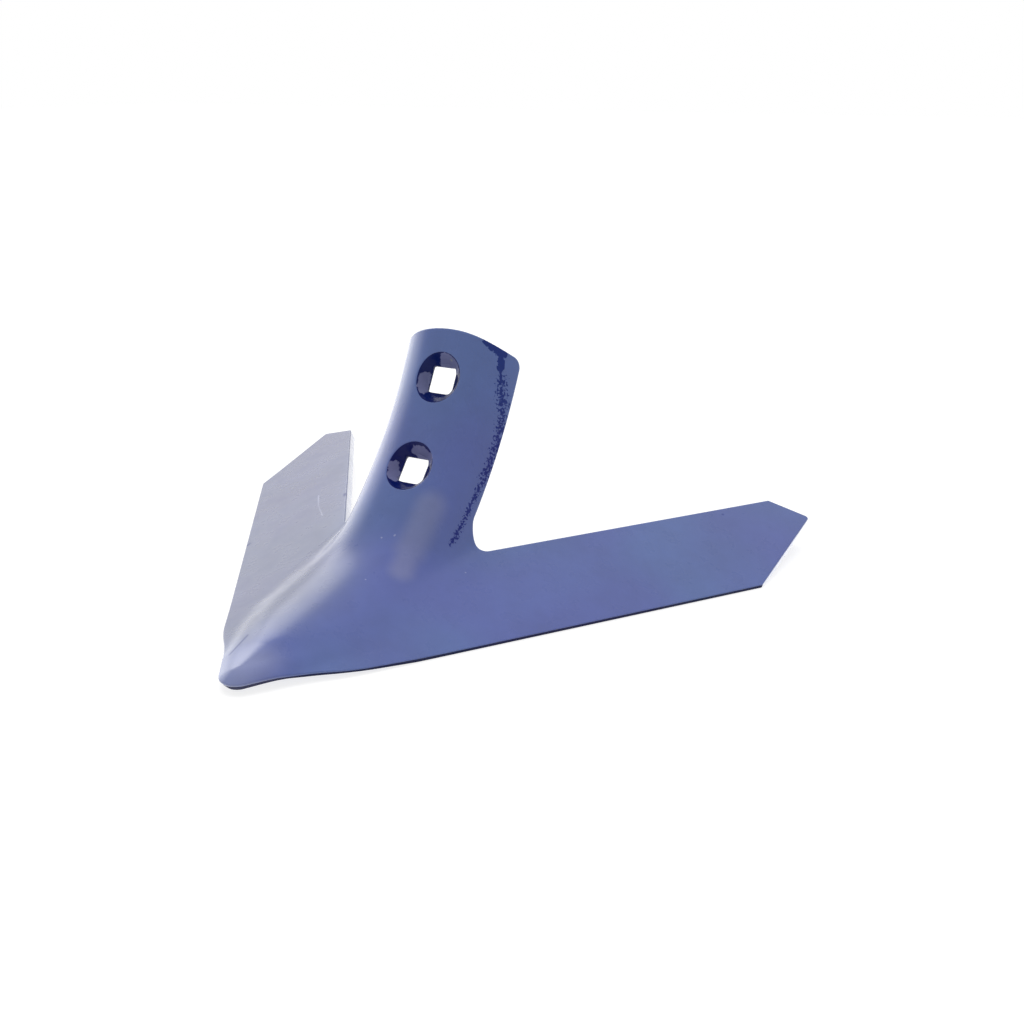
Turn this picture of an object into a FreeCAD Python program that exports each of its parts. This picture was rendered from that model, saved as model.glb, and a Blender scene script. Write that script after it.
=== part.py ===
import FreeCAD, Part
import math
import os
import Sketcher

# Duckfoot sweep: one pressed and forged steel point for a cultivator tine.
# The nose points along -Y, the wings spread along X and the shank rises at the back.
# Every form below is laid out from the point where the two cutting edges would meet,
# and the finished body is moved so that its origin lies at its bottom centre.

SIZES = [
    ("plate_thickness", 6.35, "quarter inch steel plate"),
    ("overall_width", 304.8, "across the two wing tips, a 12 inch sweep"),
    ("end_cut_run", 64.17, "how far the end cut of a wing runs back to the tip"),
    ("tip_corner_drop", 2.3, "how far the short back cut runs forward at its inner end"),
    ("end_inset", 2.7, "how far the end of the cutting edge lies inside the tip"),
    ("nose_half_angle", 35.16, "degrees between the travel line and a cutting edge"),
    ("nose_radius", 8.7, "rounding of the nose in plan"),
    ("nose_inset", 3.25, "how far each edge steps inward before the nose"),
    ("nose_inset_run", 68.0, "distance along the edge where that step begins"),
    ("nose_inset_bend", 100.0, "radius of the two bends of that step"),
    ("wing_width", 54.4, "cutting edge to trailing edge, on the slope"),
    ("wing_tilt", 20.9, "degrees of rise from the cutting edge inward"),
    ("edge_height", 1.95, "height of the ground cutting edge above the sole"),
    ("lift_angle", 2.4, "degrees by which the front of each wing lifts"),
    ("lift_run", 87.0, "distance along the edge where that lift begins"),
    ("lift_height", 1.5, "height at which the lift levels off"),
    ("sole_run", 71.0, "distance along the travel line where the sole leaves the ground"),
    ("sole_crest_run", 30.0, "where the sole under the nose is highest"),
    ("sole_crest_height", 2.95, "height of the sole there"),
    ("sole_nose_height", 0.1, "height of the sole at the meeting point of the edges"),
    ("nose_lip", 4.1, "height of the top edge at the nose"),
    ("nose_roll", 12.0, "length over which the ridge rolls down to that edge"),
    ("nose_roll_rise", 5.2, "rise of that roll"),
    ("ridge_start", 5.8, "height of the ridge line at the meeting point"),
    ("ridge_angle", 10.0, "degrees of rise of the ridge line"),
    ("ridge_half_start", 2.8, "half width of the ridge at the meeting point"),
    ("ridge_spread", 20.3, "degrees at which the ridge widens, each side"),
    ("ridge_half_full", 26.0, "half width of the ridge where it meets the shank"),
    ("ridge_roundness", 1.87, "ridge section radius over its half width"),
    ("shank_width", 63.2, "across the shank"),
    ("shank_radius", 207.0, "bend of the shank along its length"),
    ("bend_centre_run", -11.45, "centre of that bend, along the travel line"),
    ("bend_centre_height", 194.5, "centre of that bend, above the sole"),
    ("shank_crown", 200.0, "section radius of the flat middle of the shank"),
    ("shank_edge_drop", 19.4, "how far the shank's sides curl back"),
    ("foot_blend", 14.0, "softness of the bend from ridge to shank"),
    ("neck_blend", 12.0, "softness of the valley between shank and wing"),
    ("crease_blend", 1.5, "softness of the crease beside the ridge at the nose"),
    ("neck_radius", 5.0, "rounding of the notch between shank and wing, in plan"),
    ("lower_hole_angle", 48.2, "slope of the shank at the lower bolt hole"),
    ("hole_spacing", 44.45, "between the bolt holes, straight across"),
    ("top_margin", 23.7, "upper bolt hole to the top of the shank"),
    ("top_crown_radius", 64.0, "curve of the shank's top edge"),
    ("top_corner_radius", 4.5, "rounding of the shank's top corners"),
    ("tip_corner_radius", 1.8, "rounding of the wing tip corners"),
    ("countersink_width", 24.06, "bolt head recess at the surface"),
    ("countersink_angle", 80.0, "full angle of the recess"),
    ("countersink_depth", 5.0, "depth of the recess"),
    ("square_width", 12.9, "square neck hole for a half inch plow bolt"),
]

doc = FreeCAD.newDocument("duckfoot_sweep")
sheet = doc.addObject("Spreadsheet::Sheet", "Sizes")
for row, (alias, value, note) in enumerate(SIZES, start=1):
    sheet.set("A%d" % row, alias)
    sheet.set("B%d" % row, str(value))
    sheet.set("C%d" % row, note)
    sheet.setAlias("B%d" % row, alias)
doc.recompute()


def size(alias):
    """Value of one cell of the sheet as a plain number."""
    return float(sheet.get(alias))


def bind(thing, path, formula):
    """Tie a property to a formula on the sheet."""
    thing.setExpression(path, formula)


def tie(sketch, name, constraint, formula):
    """Add a named constraint that follows a formula on the sheet."""
    number = sketch.addConstraint(constraint)
    sketch.renameConstraint(number, name)
    bind(sketch, "Constraints." + name, formula)


def vector(point):
    """A sketch point as a vector."""
    return FreeCAD.Vector(point[0], point[1], 0)


# Working values, all read from the sheet

DELTA = math.radians(size("nose_half_angle"))
TILT = math.tan(math.radians(size("wing_tilt")))
PLAN_WIDTH = size("wing_width") * math.cos(math.radians(size("wing_tilt")))
LIFT = math.tan(math.radians(size("lift_angle")))
BEND_Y = size("bend_centre_run")
BEND_Z = size("bend_centre_height")
BEND_R = size("shank_radius")
SHANK_HALF = size("shank_width") / 2.0
CROWN = size("shank_crown")
QUARTIC = (size("shank_edge_drop") - SHANK_HALF ** 2 / (2 * CROWN)) / SHANK_HALF ** 4
EDGE_SLOPE = SHANK_HALF / CROWN + 4 * QUARTIC * SHANK_HALF ** 3
STEEPEST = math.radians(78)
RIDGE_REACH = math.radians(50)
TIP_Y = (size("overall_width") / 2 - size("end_inset")) / math.tan(DELTA) + size("end_cut_run")


def soft_max(first, second, softness):
    """The larger of two heights, with the corner between them rounded."""
    share = max(softness - abs(first - second), 0.0) / softness
    return max(first, second) + share ** 3 * softness / 6.0


def soft_min(first, second, softness):
    """The smaller of two heights, with the corner between them rounded."""
    return -soft_max(-first, -second, softness)


def ridge_half(along):
    """Half width of the ridge at a distance along the travel line."""
    grown = size("ridge_half_start") + math.tan(math.radians(size("ridge_spread"))) * along
    return max(4.0, soft_min(grown, size("ridge_half_full"), 6.0))


def wing_height(across, along):
    """Top of the two wings: planes that rise inward from the cutting edges."""
    half = ridge_half(along)
    side = abs(across)
    if side < half:
        part = side / half
        side = half * (0.375 + 0.75 * part ** 2 - 0.125 * part ** 4)
    inward = along * math.sin(DELTA) - side * math.cos(DELTA)
    on_edge = side * math.sin(DELTA) + along * math.cos(DELTA)
    lifted = soft_max(0.0, LIFT * (size("lift_run") - on_edge), 1.0)
    return size("edge_height") + TILT * inward + soft_min(lifted, size("lift_height"), 1.0)


def ridge_height(across, along):
    """Top of the ridge that runs from the nose up to the shank."""
    radius = size("ridge_roundness") * ridge_half(along)
    limit = radius * math.sin(RIDGE_REACH)
    side = min(abs(across), limit)
    fall = radius - math.sqrt(radius ** 2 - side ** 2)
    fall += math.tan(RIDGE_REACH) * max(abs(across) - limit, 0.0)
    crest = size("ridge_start") + math.tan(math.radians(size("ridge_angle"))) * along
    return crest - fall


def shank_drop(across):
    """How far the shank's section lies behind its middle line."""
    side = min(abs(across), SHANK_HALF)
    drop = side ** 2 / (2 * CROWN) + QUARTIC * side ** 4
    return drop + EDGE_SLOPE * max(abs(across) - SHANK_HALF, 0.0)


def shank_height(across, along):
    """Front of the shank: its section carried round the bend."""
    radius = BEND_R + shank_drop(across)
    run = min(along - BEND_Y, radius * math.sin(STEEPEST))
    return BEND_Z - math.sqrt(radius ** 2 - run ** 2)


def nose_height(across, along):
    """Slope that rolls the ridge down to the edge all round the nose."""
    inward = along * math.sin(DELTA) - abs(across) * math.cos(DELTA) - size("nose_inset")
    on_edge = abs(across) * math.sin(DELTA) + along * math.cos(DELTA)
    round_nose = size("nose_radius")
    before = (size("nose_inset") + round_nose) / math.tan(DELTA) - on_edge
    if before > 0:
        inward = round_nose - math.hypot(before, inward - round_nose)
    rise = size("nose_roll_rise")
    part = inward / size("nose_roll")
    if part < 1:
        rolled = rise * (2 * part - part ** 2)
    else:
        past = inward - size("nose_roll")
        rolled = rise + 0.6 * past + past ** 2 / 30
    return size("nose_lip") + LIFT * on_edge + rolled


def front_height(across, along):
    """The whole front surface of the sweep as one pressed form."""
    crease = size("crease_blend") + 0.12 * max(along - 30.0, 0.0)
    valley = soft_min(crease, size("neck_blend"), 4.0)
    middle = soft_max(ridge_height(across, along), shank_height(across, along), size("foot_blend"))
    pressed = soft_max(wing_height(across, along), middle, valley)
    return pressed


def stations(reach):
    """Stations across the width, close together over the shank and wide on the wings."""
    steps = [0.0]
    while steps[-1] < reach:
        step = 3.2 + 0.2 * max(steps[-1] - SHANK_HALF - 13.0, 0.0)
        steps.append(steps[-1] + min(step, 16.0))
    return [-value for value in steps[:0:-1]] + steps


def interpolated(ribs):
    """A smooth surface through ribs of points."""
    surface = Part.BSplineSurface()
    surface.interpolate(ribs)
    return surface.toShape()


def nose_skin():
    """Surface of the roll round the nose, over the front of the sweep."""
    reach = 44.0
    ribs = []
    for column in range(-16, 17):
        across = reach * column / 16
        ribs.append([FreeCAD.Vector(across, along, nose_height(across, along))
                     for along in (-6 + 2.5 * row for row in range(32))])
    return interpolated(ribs)


def front_skin():
    """Loft the front surface through one rib at every station."""
    count = 46
    ribs = []
    for across in stations(size("overall_width") / 2 + 12):
        first = math.hypot(across, 8.0) / math.tan(DELTA) - 16.0
        reach = BEND_Y + BEND_R * math.sin(math.radians(74)) + min(shank_drop(across), 24.0)
        behind = abs(across) / math.tan(DELTA) + PLAN_WIDTH / math.sin(DELTA) + 10.0
        last = soft_max(reach, behind, 20.0)
        rib = []
        for index in range(count):
            along = first + (last - first) * index / (count - 1)
            rib.append(FreeCAD.Vector(across, along, front_height(across, along)))
        ribs.append(rib)
    return interpolated(ribs)


# Front surface of the pressed plate

skin = doc.addObject("Part::Feature", "FrontSkin")
skin.Label = "front skin"
skin.Shape = front_skin()

# Blank outline in plan: nose, cutting edges, wing ends, trailing edges, notches, shank

outline = doc.addObject("Sketcher::SketchObject", "BlankOutline")
outline.Label = "blank outline"


def beside_edge(run, inset, side=1):
    """Plan point at a distance along a cutting edge and a distance inside it."""
    across = run * math.sin(DELTA) - inset * math.cos(DELTA)
    along = run * math.cos(DELTA) + inset * math.sin(DELTA)
    return FreeCAD.Vector(side * across, along, 0)


def plan_arc(centre, radius, first, last, side=1):
    """An arc in the right half between two angles, or its mirror image in the left half."""
    ring = Part.Circle(centre, FreeCAD.Vector(0, 0, 1), radius)
    if side == 1:
        return Part.ArcOfCircle(ring, first, last)
    return Part.ArcOfCircle(ring, math.pi - last, math.pi - first)


def draw_side(side, corner):
    """Draw one half of the outline and return the numbers of its pieces, nose first."""
    inset, run, bend = size("nose_inset"), size("nose_inset_run"), size("nose_inset_bend")
    half_step = math.sqrt(inset * bend - inset ** 2 / 4)
    swing = math.asin(half_step / bend)
    turn = math.pi / 2 - DELTA
    edge_end = FreeCAD.Vector(side * corner["edge_end"].x, corner["edge_end"].y, 0)
    tip = FreeCAD.Vector(side * corner["tip"].x, corner["tip"].y, 0)
    inner = FreeCAD.Vector(side * corner["inner"].x, corner["inner"].y, 0)
    neck = FreeCAD.Vector(side * corner["neck"].x, corner["neck"].y, 0)
    radius = size("neck_radius")
    nose_end = FreeCAD.Vector(side * corner["nose"].x, corner["nose"].y, 0)
    first_end = beside_edge(run - 2 * half_step, inset, side)
    neck_out = neck + FreeCAD.Vector(side * radius * math.cos(DELTA), -radius * math.sin(DELTA), 0)
    neck_in = neck - FreeCAD.Vector(side * radius, 0, 0)
    back = 1.25 * BEND_R
    pieces = [
        Part.LineSegment(nose_end, first_end),
        plan_arc(beside_edge(run - 2 * half_step, inset - bend, side), bend,
                 turn + math.pi / 2 - swing, turn + math.pi / 2, side),
        plan_arc(beside_edge(run, bend, side), bend,
                 turn + 3 * math.pi / 2 - swing, turn + 3 * math.pi / 2, side),
        Part.LineSegment(beside_edge(run, 0, side), edge_end),
        Part.LineSegment(edge_end, tip),
        Part.LineSegment(tip, inner),
        Part.LineSegment(inner, neck_out),
        plan_arc(neck, radius, math.pi, 2 * math.pi - DELTA, side),
        Part.LineSegment(neck_in, FreeCAD.Vector(neck_in.x, back, 0)),
    ]
    return [outline.addGeometry(piece, False) for piece in pieces]


def outline_corners():
    """Corners of the right half of the outline, worked out from the sheet."""
    half = size("overall_width") / 2
    edge_x = half - size("end_inset")
    inner_y = TIP_Y - size("tip_corner_drop")
    neck_x = SHANK_HALF + size("neck_radius")
    neck_y = (PLAN_WIDTH + size("neck_radius") + neck_x * math.cos(DELTA)) / math.sin(DELTA)
    nose_y = (size("nose_inset") + size("nose_radius")) / math.sin(DELTA)
    reach = size("nose_radius")
    return {
        "nose_centre": FreeCAD.Vector(0, nose_y, 0),
        "nose": FreeCAD.Vector(reach * math.cos(DELTA), nose_y - reach * math.sin(DELTA), 0),
        "edge_end": FreeCAD.Vector(edge_x, edge_x / math.tan(DELTA), 0),
        "tip": FreeCAD.Vector(half, TIP_Y, 0),
        "inner": FreeCAD.Vector((inner_y * math.sin(DELTA) - PLAN_WIDTH) / math.cos(DELTA), inner_y, 0),
        "neck": FreeCAD.Vector(neck_x, neck_y, 0),
    }


def draw_outline():
    """Draw the outline, both halves, and tie it to the sheet."""
    corner = outline_corners()
    ring = Part.Circle(corner["nose_centre"], FreeCAD.Vector(0, 0, 1), size("nose_radius"))
    nose = outline.addGeometry(Part.ArcOfCircle(ring, math.pi + DELTA, 2 * math.pi - DELTA), False)
    halves = {side: draw_side(side, corner) for side in (1, -1)}
    far = 1.25 * BEND_R
    back = outline.addGeometry(Part.LineSegment(
        FreeCAD.Vector(SHANK_HALF, far, 0), FreeCAD.Vector(-SHANK_HALF, far, 0)), False)
    add = outline.addConstraint
    rule = Sketcher.Constraint
    for side, pieces in halves.items():
        front, step_in, step_out, edge, end, cut, trail, notch, flank = pieces
        first, last = (1, 2) if side == 1 else (2, 1)
        add(rule("Tangent", front, 1, nose, last))
        add(rule("Tangent", front, 2, step_in, last))
        add(rule("Tangent", step_in, first, step_out, first))
        add(rule("Tangent", step_out, last, edge, 1))
        add(rule("Coincident", edge, 2, end, 1))
        add(rule("Coincident", end, 2, cut, 1))
        add(rule("Coincident", cut, 2, trail, 1))
        add(rule("Tangent", trail, 2, notch, last))
        add(rule("Tangent", flank, 1, notch, first))
        add(rule("Coincident", flank, 2, back, first))
        add(rule("Vertical", flank))
        add(rule("Parallel", edge, trail))
        add(rule("Parallel", edge, front))
    front, step_in, step_out, edge, end, cut, trail, notch, flank = halves[1]
    mirror = halves[-1]
    add(rule("PointOnObject", -1, 1, edge))
    add(rule("PointOnObject", nose, 3, -2))
    for number in (3, 4, 5, 6):
        add(rule("Symmetric", halves[1][number], 1, mirror[number], 1, -2))
    add(rule("Symmetric", back, 1, back, 2, -2))
    add(rule("Equal", notch, mirror[7]))
    add(rule("Equal", step_in, step_out))
    add(rule("Equal", step_in, mirror[1]))
    add(rule("Equal", step_in, mirror[2]))
    tie(outline, "far", rule("DistanceY", -1, 1, back, 1, far), "1.25 * Sizes.shank_radius")
    tie(outline, "nose", rule("Radius", nose, size("nose_radius")), "Sizes.nose_radius")
    tie(outline, "step", rule("Radius", step_in, size("nose_inset_bend")), "Sizes.nose_inset_bend")
    tie(outline, "inset", rule("Distance", front, 1, edge, size("nose_inset")), "Sizes.nose_inset")
    tie(outline, "step_run", rule("Distance", -1, 1, edge, 1, size("nose_inset_run")),
        "Sizes.nose_inset_run")
    tie(outline, "neck", rule("Radius", notch, size("neck_radius")), "Sizes.neck_radius")
    tie(outline, "span", rule("DistanceX", -1, 1, cut, 1, corner["tip"].x), "Sizes.overall_width / 2")
    tie(outline, "end_cut", rule("DistanceY", end, 1, cut, 1, size("end_cut_run")), "Sizes.end_cut_run")
    tie(outline, "edge_end", rule("DistanceX", -1, 1, end, 1, corner["edge_end"].x),
        "Sizes.overall_width / 2 - Sizes.end_inset")
    tie(outline, "cut_end", rule("DistanceY", trail, 1, cut, 1, size("tip_corner_drop")),
        "Sizes.tip_corner_drop")
    tie(outline, "wing", rule("Distance", trail, 1, edge, PLAN_WIDTH),
        "Sizes.wing_width * cos(Sizes.wing_tilt * 1 deg)")
    tie(outline, "flank", rule("DistanceX", -1, 1, flank, 1, SHANK_HALF), "Sizes.shank_width / 2")
    tie(outline, "lean", rule("Angle", edge, math.pi / 2 - DELTA),
        "(90 - Sizes.nose_half_angle) * 1 deg")


draw_outline()
blank = doc.addObject("Part::Extrusion", "BlankPrism")
blank.Label = "blank prism"
blank.Base = outline
blank.Dir = FreeCAD.Vector(0, 0, 1)
blank.Solid = True
blank.LengthFwd = 300
blank.LengthRev = 60

# Top end of the shank: a crowned cut square to the plate

UPPER_HOLE = "(Sizes.lower_hole_angle * 1 deg + 2 * asin(Sizes.hole_spacing / 2 / Sizes.shank_radius))"
TOP_SLOPE = "(" + UPPER_HOLE + " + Sizes.top_margin / Sizes.shank_radius * 1 rad)"


def hole_turn():
    """Angle of the bend from the lower to the upper bolt hole, in radians."""
    return 2 * math.asin(size("hole_spacing") / 2 / BEND_R)


def top_slope():
    """Slope of the shank at its top end, in radians."""
    return math.radians(size("lower_hole_angle")) + hole_turn() + size("top_margin") / BEND_R


def on_bend(slope):
    """Point on the shank's middle line where it has this slope."""
    return FreeCAD.Vector(0, BEND_Y + BEND_R * math.sin(slope), BEND_Z - BEND_R * math.cos(slope))


def bend_formulas(slope):
    """Formulas for the run and the height of a point on the shank's middle line."""
    run = "Sizes.bend_centre_run + Sizes.shank_radius * sin(" + slope + ")"
    height = "Sizes.bend_centre_height - Sizes.shank_radius * cos(" + slope + ")"
    return run, height


top = doc.addObject("Sketcher::SketchObject", "TopEnd")
top.Label = "top end"


def draw_top():
    """Draw the waste above the crowned top edge, wider than the shank."""
    crown = size("top_crown_radius")
    reach = 1.35 * SHANK_HALF
    side_y = math.sqrt(crown ** 2 - reach ** 2) - crown
    ring = Part.Circle(FreeCAD.Vector(0, -crown, 0), FreeCAD.Vector(0, 0, 1), crown)
    start = math.atan2(side_y + crown, reach)
    arc = top.addGeometry(Part.ArcOfCircle(ring, start, math.pi - start), False)
    corners = [(-reach, side_y), (-reach, 60.0), (reach, 60.0), (reach, side_y)]
    lines = []
    for first, second in zip(corners, corners[1:]):
        lines.append(top.addGeometry(Part.LineSegment(vector(first), vector(second)), False))
    add = top.addConstraint
    rule = Sketcher.Constraint
    add(rule("Coincident", arc, 2, lines[0], 1))
    add(rule("Coincident", lines[0], 2, lines[1], 1))
    add(rule("Coincident", lines[1], 2, lines[2], 1))
    add(rule("Coincident", lines[2], 2, arc, 1))
    add(rule("Vertical", lines[0]))
    add(rule("Vertical", lines[2]))
    add(rule("Horizontal", lines[1]))
    add(rule("PointOnObject", arc, 3, -2))
    add(rule("DistanceY", -1, 1, lines[2], 1, 60.0))
    tie(top, "crown", rule("Radius", arc, crown), "Sizes.top_crown_radius")
    tie(top, "sink", rule("DistanceY", arc, 3, -1, 1, crown), "Sizes.top_crown_radius")
    tie(top, "reach", rule("DistanceX", -1, 1, lines[2], 1, reach), "0.675 * Sizes.shank_width")


draw_top()
top.Placement = FreeCAD.Placement(
    on_bend(top_slope()), FreeCAD.Rotation(FreeCAD.Vector(1, 0, 0), math.degrees(top_slope())))
top_run, top_height = bend_formulas(TOP_SLOPE)
bind(top, ".Placement.Rotation.Angle", TOP_SLOPE)
bind(top, ".Placement.Base.y", top_run)
bind(top, ".Placement.Base.z", top_height)
cutter = doc.addObject("Part::Extrusion", "TopCutter")
cutter.Label = "top cutter"
cutter.Base = top
cutter.DirMode = "Normal"
cutter.Solid = True
cutter.LengthFwd = 40
cutter.LengthRev = 70

# The trimmed skin, then the plate of even thickness behind it

trimmed = doc.addObject("Part::Common", "TrimmedSkin")
trimmed.Label = "trimmed skin"
trimmed.Base = skin
trimmed.Tool = blank
topped = doc.addObject("Part::Cut", "ToppedSkin")
topped.Label = "topped skin"
topped.Base = trimmed
topped.Tool = cutter
plate = doc.addObject("Part::Offset", "Plate")
plate.Label = "plate"
plate.Source = topped
plate.Fill = True
plate.Value = -size("plate_thickness")
bind(plate, "Value", "-Sizes.plate_thickness")
doc.recompute()

# Roll of the ridge down to the nose, cut from the plate

roll = doc.addObject("Part::Feature", "NoseRoll")
roll.Label = "nose roll"
roll.Shape = nose_skin()
above_roll = doc.addObject("Part::Extrusion", "NoseWaste")
above_roll.Label = "nose waste"
above_roll.Base = roll
above_roll.Dir = FreeCAD.Vector(0, 0, 1)
above_roll.Solid = True
above_roll.LengthFwd = 60
nosed = doc.addObject("Part::Cut", "NosedPlate")
nosed.Label = "nosed plate"
nosed.Base = plate
nosed.Tool = above_roll
doc.recompute()

# Body: the plate with its ground sole, bolt holes and rounded corners

body = doc.addObject("PartDesign::Body", "Sweep")
body.Label = "duckfoot_sweep"
body.BaseFeature = nosed
doc.recompute()


def new_sketch(name, role, place=None):
    """A sketch on one of the body's own origin planes, found by its role."""
    plane = [feature for feature in body.Origin.OriginFeatures if feature.Role == role][0]
    sketch = body.newObject("Sketcher::SketchObject", name)
    sketch.AttachmentSupport = [(plane, "")]
    sketch.MapMode = "FlatFace"
    if place is not None:
        sketch.AttachmentOffset = place
    return sketch


def polygon(sketch, points):
    """Draw a closed polygon in a sketch and return the numbers of its lines."""
    lines = []
    for first, second in zip(points, points[1:] + points[:1]):
        lines.append(sketch.addGeometry(Part.LineSegment(vector(first), vector(second)), False))
    for first, second in zip(lines, lines[1:] + lines[:1]):
        sketch.addConstraint(Sketcher.Constraint("Coincident", first, 2, second, 1))
    return lines


# Sole: level under the wings, with a slight lift under the nose

rule = Sketcher.Constraint
sole = new_sketch("SoleProfile", "YZ_Plane")
nose_sole = size("sole_nose_height")
crest_spot = (size("sole_crest_run"), size("sole_crest_height"))
lines = polygon(sole, [(400, 0), (400, -80), (0, -80), (0, nose_sole), crest_spot, (size("sole_run"), 0)])
sole.addConstraint(rule("Vertical", lines[0]))
sole.addConstraint(rule("Horizontal", lines[1]))
sole.addConstraint(rule("PointOnObject", lines[2], 1, -2))
sole.addConstraint(rule("PointOnObject", lines[3], 1, -2))
sole.addConstraint(rule("PointOnObject", lines[5], 1, -1))
sole.addConstraint(rule("PointOnObject", lines[5], 2, -1))
sole.addConstraint(rule("DistanceX", -1, 1, lines[0], 1, 400))
sole.addConstraint(rule("DistanceY", lines[0], 2, -1, 1, 80))
tie(sole, "nose", rule("DistanceY", -1, 1, lines[3], 1, nose_sole), "Sizes.sole_nose_height")
tie(sole, "crest_run", rule("DistanceX", -1, 1, lines[4], 1, crest_spot[0]), "Sizes.sole_crest_run")
tie(sole, "crest_height", rule("DistanceY", -1, 1, lines[4], 1, crest_spot[1]),
    "Sizes.sole_crest_height")
tie(sole, "run", rule("DistanceX", -1, 1, lines[5], 1, size("sole_run")), "Sizes.sole_run")
ground = body.newObject("PartDesign::Pocket", "GroundSole")
ground.Profile = sole
ground.Type = "ThroughAll"
ground.SideType = "Symmetric"
doc.recompute()

# Lower bolt hole: a round countersink in front of a square neck hole

LOWER_SLOPE = "Sizes.lower_hole_angle * 1 deg"
hole_tilt = math.radians(size("lower_hole_angle"))
hole_spot = on_bend(hole_tilt)
hole_run, hole_height = bend_formulas(LOWER_SLOPE)
recess = new_sketch("RecessProfile", "YZ_Plane", FreeCAD.Placement(
    FreeCAD.Vector(hole_spot.y, hole_spot.z, 0),
    FreeCAD.Rotation(FreeCAD.Vector(0, 0, 1), math.degrees(hole_tilt))))
bind(recess, ".AttachmentOffset.Base.x", hole_run)
bind(recess, ".AttachmentOffset.Base.y", hole_height)
bind(recess, ".AttachmentOffset.Rotation.Angle", LOWER_SLOPE)
flare = math.tan(math.radians(size("countersink_angle") / 2))
wide = size("countersink_width") / 2
deep = size("countersink_depth")
above = 4.0
lines = polygon(recess, [(0, above), (0, -deep), (wide - deep * flare, -deep), (wide + above * flare, above)])
recess.addConstraint(rule("PointOnObject", lines[0], 1, -2))
recess.addConstraint(rule("Vertical", lines[0]))
recess.addConstraint(rule("Horizontal", lines[1]))
recess.addConstraint(rule("Horizontal", lines[3]))
recess.addConstraint(rule("DistanceY", -1, 1, lines[0], 1, above))
tie(recess, "deep", rule("DistanceY", lines[0], 2, -1, 1, deep), "Sizes.countersink_depth")
tie(recess, "floor", rule("DistanceX", -1, 1, lines[1], 2, wide - deep * flare),
    "Sizes.countersink_width / 2 - Sizes.countersink_depth * tan(Sizes.countersink_angle * 0.5 deg)")
tie(recess, "mouth", rule("DistanceX", -1, 1, lines[2], 2, wide + above * flare),
    "Sizes.countersink_width / 2 + 4 * tan(Sizes.countersink_angle * 0.5 deg)")
sink = body.newObject("PartDesign::Groove", "Countersink")
sink.Profile = recess
sink.ReferenceAxis = (recess, ["V_Axis"])
sink.Angle = 360
doc.recompute()

neck = new_sketch("SquareNeck", "XY_Plane", FreeCAD.Placement(
    hole_spot, FreeCAD.Rotation(FreeCAD.Vector(1, 0, 0), math.degrees(hole_tilt))))
bind(neck, ".AttachmentOffset.Base.y", hole_run)
bind(neck, ".AttachmentOffset.Base.z", hole_height)
bind(neck, ".AttachmentOffset.Rotation.Angle", LOWER_SLOPE)
near = size("square_width") / 2
lines = polygon(neck, [(-near, -near), (near, -near), (near, near), (-near, near)])
neck.addConstraint(rule("Horizontal", lines[0]))
neck.addConstraint(rule("Vertical", lines[1]))
neck.addConstraint(rule("Horizontal", lines[2]))
neck.addConstraint(rule("Vertical", lines[3]))
neck.addConstraint(rule("Symmetric", lines[0], 1, lines[1], 2, -1, 1))
tie(neck, "across", rule("DistanceX", lines[0], 1, lines[0], 2, 2 * near), "Sizes.square_width")
tie(neck, "along", rule("DistanceY", lines[1], 1, lines[1], 2, 2 * near), "Sizes.square_width")
punch = body.newObject("PartDesign::Pocket", "SquareHole")
punch.Profile = neck
punch.Type = "Length"
punch.SideType = "Symmetric"
punch.Length = 50
doc.recompute()

# Upper bolt hole: the same pair turned round the bend of the shank

pivot = new_sketch("BendAxis", "YZ_Plane", FreeCAD.Placement(
    FreeCAD.Vector(BEND_Y, BEND_Z, 0), FreeCAD.Rotation()))
bind(pivot, ".AttachmentOffset.Base.x", "Sizes.bend_centre_run")
bind(pivot, ".AttachmentOffset.Base.y", "Sizes.bend_centre_height")
pivot.addGeometry(Part.Point(FreeCAD.Vector(0, 0, 0)), True)
pair = body.newObject("PartDesign::PolarPattern", "BoltHoles")
pair.Originals = [sink, punch]
pair.Axis = (pivot, ["N_Axis"])
pair.Occurrences = 2
pair.Angle = math.degrees(hole_turn())
bind(pair, "Angle", "2 * asin(Sizes.hole_spacing / 2 / Sizes.shank_radius)")
body.Tip = pair
doc.recompute()

# Rounded corners of the shank's top and of the wing tips


def through_edges(feature, rank):
    """Names of the two edges straight through the plate that rank first, such as the highest."""
    found = []
    for number, edge in enumerate(feature.Shape.Edges, start=1):
        middle = edge.valueAt((edge.FirstParameter + edge.LastParameter) / 2)
        if abs(edge.Length - size("plate_thickness")) < 0.02:
            found.append((rank(middle), "Edge%d" % number))
    return [name for _, name in sorted(found)[-2:]]


def round_corners(name, feature, rank, formula):
    """Round two corners of the plate and return the new feature."""
    fillet = body.newObject("PartDesign::Fillet", name)
    fillet.Base = (feature, through_edges(feature, rank))
    bind(fillet, "Radius", formula)
    body.Tip = fillet
    doc.recompute()
    return fillet


tips = round_corners("TipCorners", pair, lambda middle: abs(middle.x), "Sizes.tip_corner_radius")
tops = round_corners("TopCorners", tips, lambda middle: middle.z, "Sizes.top_corner_radius")

# Frame: the bottom centre of the sweep is the part's origin

front = (size("nose_inset") + size("nose_radius")) / math.sin(DELTA) - size("nose_radius")
lean_back = math.sin(math.radians(size("wing_tilt"))) * math.sin(DELTA)
rear = TIP_Y + size("plate_thickness") * lean_back
body.Placement = FreeCAD.Placement(FreeCAD.Vector(0, -(front + rear) / 2, 0), FreeCAD.Rotation())
doc.recompute()

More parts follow.
